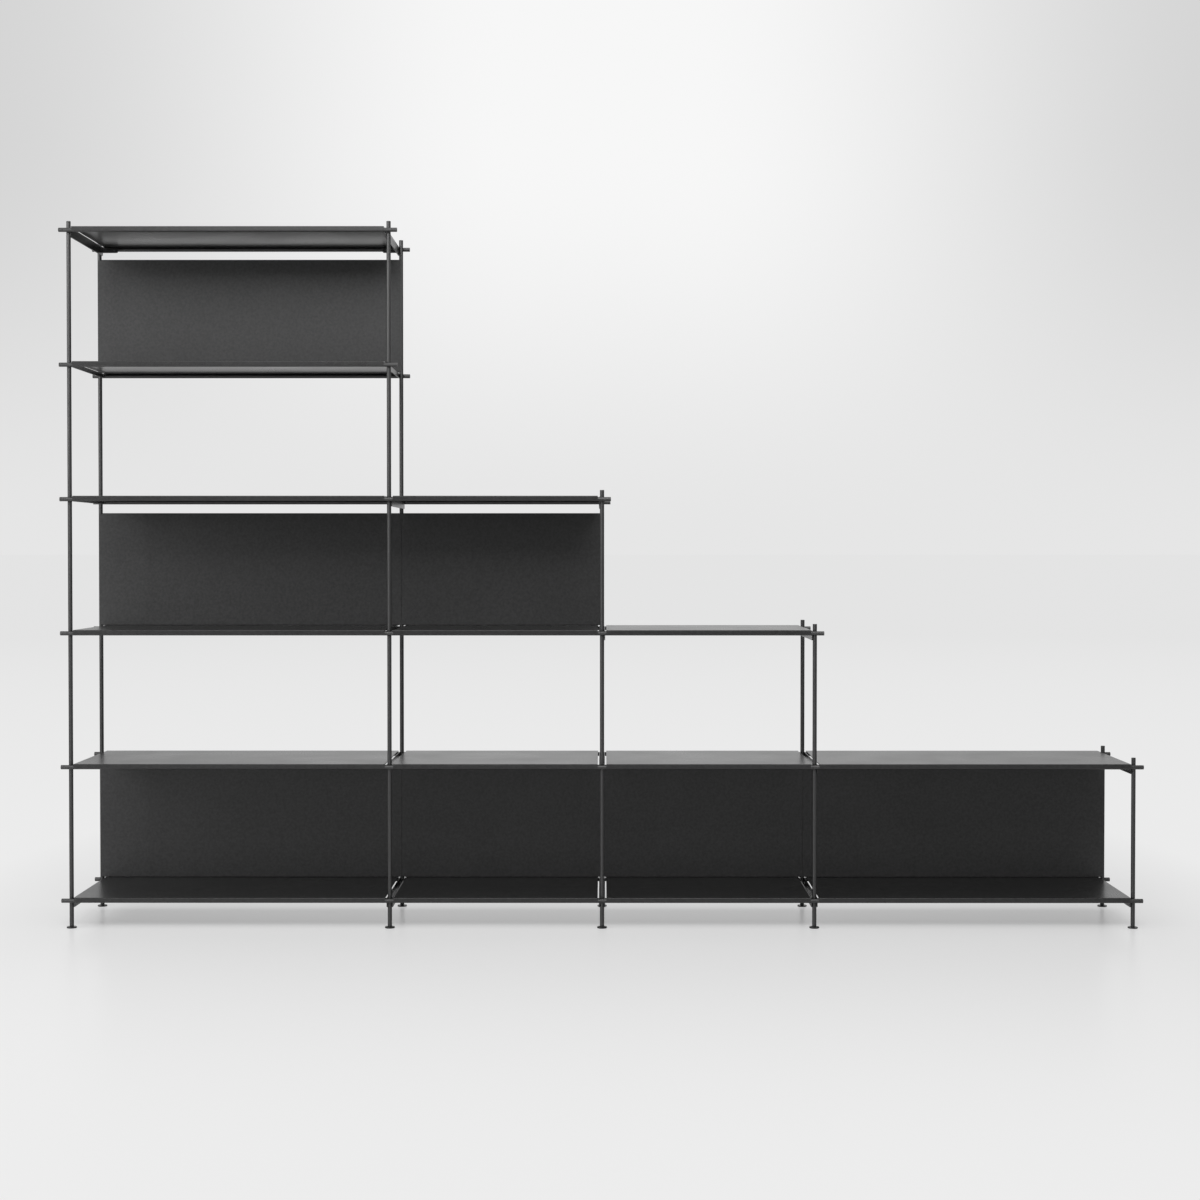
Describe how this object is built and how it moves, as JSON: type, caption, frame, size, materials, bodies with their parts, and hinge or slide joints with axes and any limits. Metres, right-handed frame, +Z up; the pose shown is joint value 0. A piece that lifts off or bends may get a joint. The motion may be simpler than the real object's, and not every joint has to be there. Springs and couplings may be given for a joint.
{
  "type": "staircase bookshelf",
  "caption": "Stepped steel bookshelf: round posts and rails carry folded shelf trays whose height falls from left to right, with clip-on back panels and levelling feet.",
  "frame": {"origin": "on the floor, below the middle of the row of posts", "axes": "+Z up, +X to the right seen from the front, so the steps go down towards +X, and the front faces -Y"},
  "size_m": [3.05, 0.3902, 1.9925],
  "materials": {
    "bar_coating": "fine-textured semi-matt charcoal powder coat on round steel bar",
    "tray_coating": "fine-textured semi-matt charcoal powder coat on folded steel sheet",
    "panel_coating": "fine-textured semi-matt charcoal powder coat on steel sheet",
    "bracket_coating": "semi-matt charcoal powder coat",
    "foot_coating": "matt black coated steel"
  },
  "bodies": {
    "shelf_frame": {"post_1_front": "bar_coating", "post_1_rear": "bar_coating", "post_2_front": "bar_coating", "post_2_rear": "bar_coating", "post_3_front": "bar_coating", "post_3_rear": "bar_coating", "post_4_front": "bar_coating", "post_4_rear": "bar_coating", "post_5_front": "bar_coating", "post_5_rear": "bar_coating", "rail_level_1_front": "bar_coating", "rail_level_1_rear": "bar_coating", "shelf_bay_1_level_1": "tray_coating", "shelf_bay_2_level_1": "tray_coating", "shelf_bay_3_level_1": "tray_coating", "shelf_bay_4_level_1": "tray_coating", "back_panel_bay_1_level_1": "panel_coating", "back_panel_bay_2_level_1": "panel_coating", "back_panel_bay_3_level_1": "panel_coating", "back_panel_bay_4_level_1": "panel_coating", "rail_level_2_front": "bar_coating", "rail_level_2_rear": "bar_coating", "shelf_bay_1_level_2": "tray_coating", "shelf_bay_2_level_2": "tray_coating", "shelf_bay_3_level_2": "tray_coating", "shelf_bay_4_level_2": "tray_coating", "rail_level_3_front": "bar_coating", "rail_level_3_rear": "bar_coating", "shelf_bay_1_level_3": "tray_coating", "shelf_bay_2_level_3": "tray_coating", "shelf_bay_3_level_3": "tray_coating", "back_panel_bay_1_level_3": "panel_coating", "back_panel_bay_2_level_3": "panel_coating", "rail_level_4_front": "bar_coating", "rail_level_4_rear": "bar_coating", "shelf_bay_1_level_4": "tray_coating", "shelf_bay_2_level_4": "tray_coating", "rail_level_5_front": "bar_coating", "rail_level_5_rear": "bar_coating", "shelf_bay_1_level_5": "tray_coating", "back_panel_bay_1_level_5": "panel_coating", "rail_level_6_front": "bar_coating", "rail_level_6_rear": "bar_coating", "shelf_bay_1_level_6": "tray_coating", "wall_bracket_left": "bracket_coating", "wall_bracket_right": "bracket_coating"},
    "levelling_foot_1_front": {"foot_1_front": "foot_coating"},
    "levelling_foot_1_rear": {"foot_1_rear": "foot_coating"},
    "levelling_foot_2_front": {"foot_2_front": "foot_coating"},
    "levelling_foot_2_rear": {"foot_2_rear": "foot_coating"},
    "levelling_foot_3_front": {"foot_3_front": "foot_coating"},
    "levelling_foot_3_rear": {"foot_3_rear": "foot_coating"},
    "levelling_foot_4_front": {"foot_4_front": "foot_coating"},
    "levelling_foot_4_rear": {"foot_4_rear": "foot_coating"},
    "levelling_foot_5_front": {"foot_5_front": "foot_coating"},
    "levelling_foot_5_rear": {"foot_5_rear": "foot_coating"}
  },
  "joints": [
    {"name": "foot_1_front_height", "type": "slide", "parent": "shelf_frame", "child": "levelling_foot_1_front", "axis": [0, 0, -1], "range_m": [0, 0.012]},
    {"name": "foot_1_rear_height", "type": "slide", "parent": "shelf_frame", "child": "levelling_foot_1_rear", "axis": [0, 0, -1], "range_m": [0, 0.012]},
    {"name": "foot_2_front_height", "type": "slide", "parent": "shelf_frame", "child": "levelling_foot_2_front", "axis": [0, 0, -1], "range_m": [0, 0.012]},
    {"name": "foot_2_rear_height", "type": "slide", "parent": "shelf_frame", "child": "levelling_foot_2_rear", "axis": [0, 0, -1], "range_m": [0, 0.012]},
    {"name": "foot_3_front_height", "type": "slide", "parent": "shelf_frame", "child": "levelling_foot_3_front", "axis": [0, 0, -1], "range_m": [0, 0.012]},
    {"name": "foot_3_rear_height", "type": "slide", "parent": "shelf_frame", "child": "levelling_foot_3_rear", "axis": [0, 0, -1], "range_m": [0, 0.012]},
    {"name": "foot_4_front_height", "type": "slide", "parent": "shelf_frame", "child": "levelling_foot_4_front", "axis": [0, 0, -1], "range_m": [0, 0.012]},
    {"name": "foot_4_rear_height", "type": "slide", "parent": "shelf_frame", "child": "levelling_foot_4_rear", "axis": [0, 0, -1], "range_m": [0, 0.012]},
    {"name": "foot_5_front_height", "type": "slide", "parent": "shelf_frame", "child": "levelling_foot_5_front", "axis": [0, 0, -1], "range_m": [0, 0.012]},
    {"name": "foot_5_rear_height", "type": "slide", "parent": "shelf_frame", "child": "levelling_foot_5_rear", "axis": [0, 0, -1], "range_m": [0, 0.012]}
  ]
}
